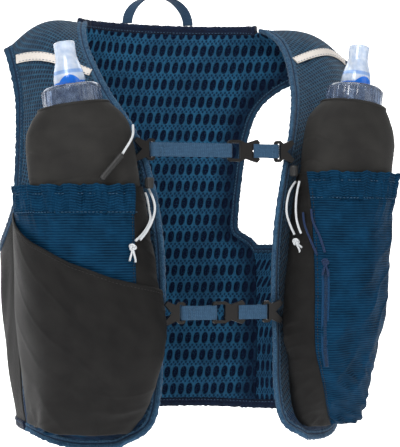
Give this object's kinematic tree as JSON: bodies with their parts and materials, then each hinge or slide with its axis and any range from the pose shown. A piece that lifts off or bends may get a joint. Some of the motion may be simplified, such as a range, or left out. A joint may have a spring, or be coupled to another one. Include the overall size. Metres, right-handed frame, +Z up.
{
  "type": "running hydration vest",
  "caption": "Close-fitting mesh running vest with an open front, chest straps with hook buckles, and a soft flask standing in a pocket on each front panel",
  "frame": {"origin": "Mount shoulder_rest: midway between the two shoulder straps, at the height where they lie over the wearer's shoulders", "axes": "+Z up, toward the shoulders and the hanging loop; +X to the right of someone facing the front; -Y is the front, with the flasks and the chest straps"},
  "size_m": [0.3438, 0.2523, 0.4195],
  "materials": {
    "mesh_fabric": "Dark teal-blue polyester spacer mesh and diamond knit, matte",
    "binding_fabric": "Soft stretch edge binding in dark navy blue",
    "ripstop_fabric": "Thin ribbed blue pocket fabric with a slight sheen",
    "stretch_fabric": "Smooth charcoal stretch fabric",
    "webbing_blue": "Woven steel-blue webbing",
    "sleeve_fabric": "Charcoal padded insulating sleeve",
    "reflective": "Warm light-grey reflective tape",
    "cord_white": "Fine braided light-grey cord",
    "cord_navy": "Fine braided navy cord",
    "buckle_plastic": "Glossy brown-black moulded plastic",
    "trim_rubber": "Matte black moulded rubber and zip tape",
    "flask_clear": "Clear, slightly blue-grey flexible plastic",
    "valve_frosted": "Frosted pale-blue silicone",
    "valve_blue": "Bright blue moulded plastic"
  },
  "bodies": {
    "vest": {"back_panel": "mesh_fabric", "neck_binding": "binding_fabric", "hem_binding": "binding_fabric", "hang_loop": "webbing_blue", "left_front_panel": "mesh_fabric", "right_front_panel": "mesh_fabric", "left_side_panel": "stretch_fabric", "right_side_panel": "mesh_fabric", "left_front_binding": "webbing_blue", "right_front_binding": "webbing_blue", "left_armhole_binding": "binding_fabric", "right_armhole_binding": "binding_fabric", "left_reflective_strip": "reflective", "right_reflective_strip": "reflective", "left_pocket_gusset": "stretch_fabric", "right_pocket_gusset": "stretch_fabric", "left_bottle_pocket": "ripstop_fabric", "right_bottle_pocket": "ripstop_fabric", "left_pocket_band": "ripstop_fabric", "right_pocket_band": "ripstop_fabric", "stash_pocket": "stretch_fabric", "left_flask_sleeve": "sleeve_fabric", "right_flask_sleeve": "sleeve_fabric", "left_flask_bladder": "flask_clear", "right_flask_bladder": "flask_clear", "left_flask_cap": "flask_clear", "right_flask_cap": "flask_clear", "left_valve_cam": "valve_blue", "right_valve_cam": "valve_blue", "upper_left_hook": "buckle_plastic", "upper_buckle": "buckle_plastic", "upper_right_hook": "buckle_plastic", "lower_left_hook": "buckle_plastic", "lower_buckle": "buckle_plastic", "lower_right_hook": "buckle_plastic", "upper_webbing": "webbing_blue", "upper_short_webbing": "webbing_blue", "lower_webbing": "webbing_blue", "lower_short_webbing": "webbing_blue", "zip": "trim_rubber", "left_drawcord_a": "cord_white", "left_drawcord_b": "cord_white", "left_drawcord_knot": "cord_white", "left_drawcord_lock": "trim_rubber", "right_drawcord_a": "cord_white", "right_drawcord_b": "cord_white", "right_drawcord_knot": "cord_white", "right_drawcord_lock": "trim_rubber", "zip_cord_a": "cord_navy", "zip_cord_b": "cord_navy", "zip_cord_knot": "cord_navy", "zip_pull_cord": "cord_white", "zip_pull_tube": "trim_rubber"},
    "left_valve": {"left_mouthpiece": "valve_frosted"},
    "right_valve": {"right_mouthpiece": "valve_frosted"}
  },
  "joints": [
    {"name": "left_valve_twist", "type": "hinge", "parent": "vest", "child": "left_valve", "pos_m": [-0.12844, -0.10151, -0.08256], "axis": [-0.1392, 0.0622, 0.9883], "range_deg": [0, 90]},
    {"name": "right_valve_twist", "type": "hinge", "parent": "vest", "child": "right_valve", "pos_m": [0.12942, -0.10108, -0.07564], "axis": [0.1392, 0.0622, 0.9883], "range_deg": [0, 90]}
  ]
}
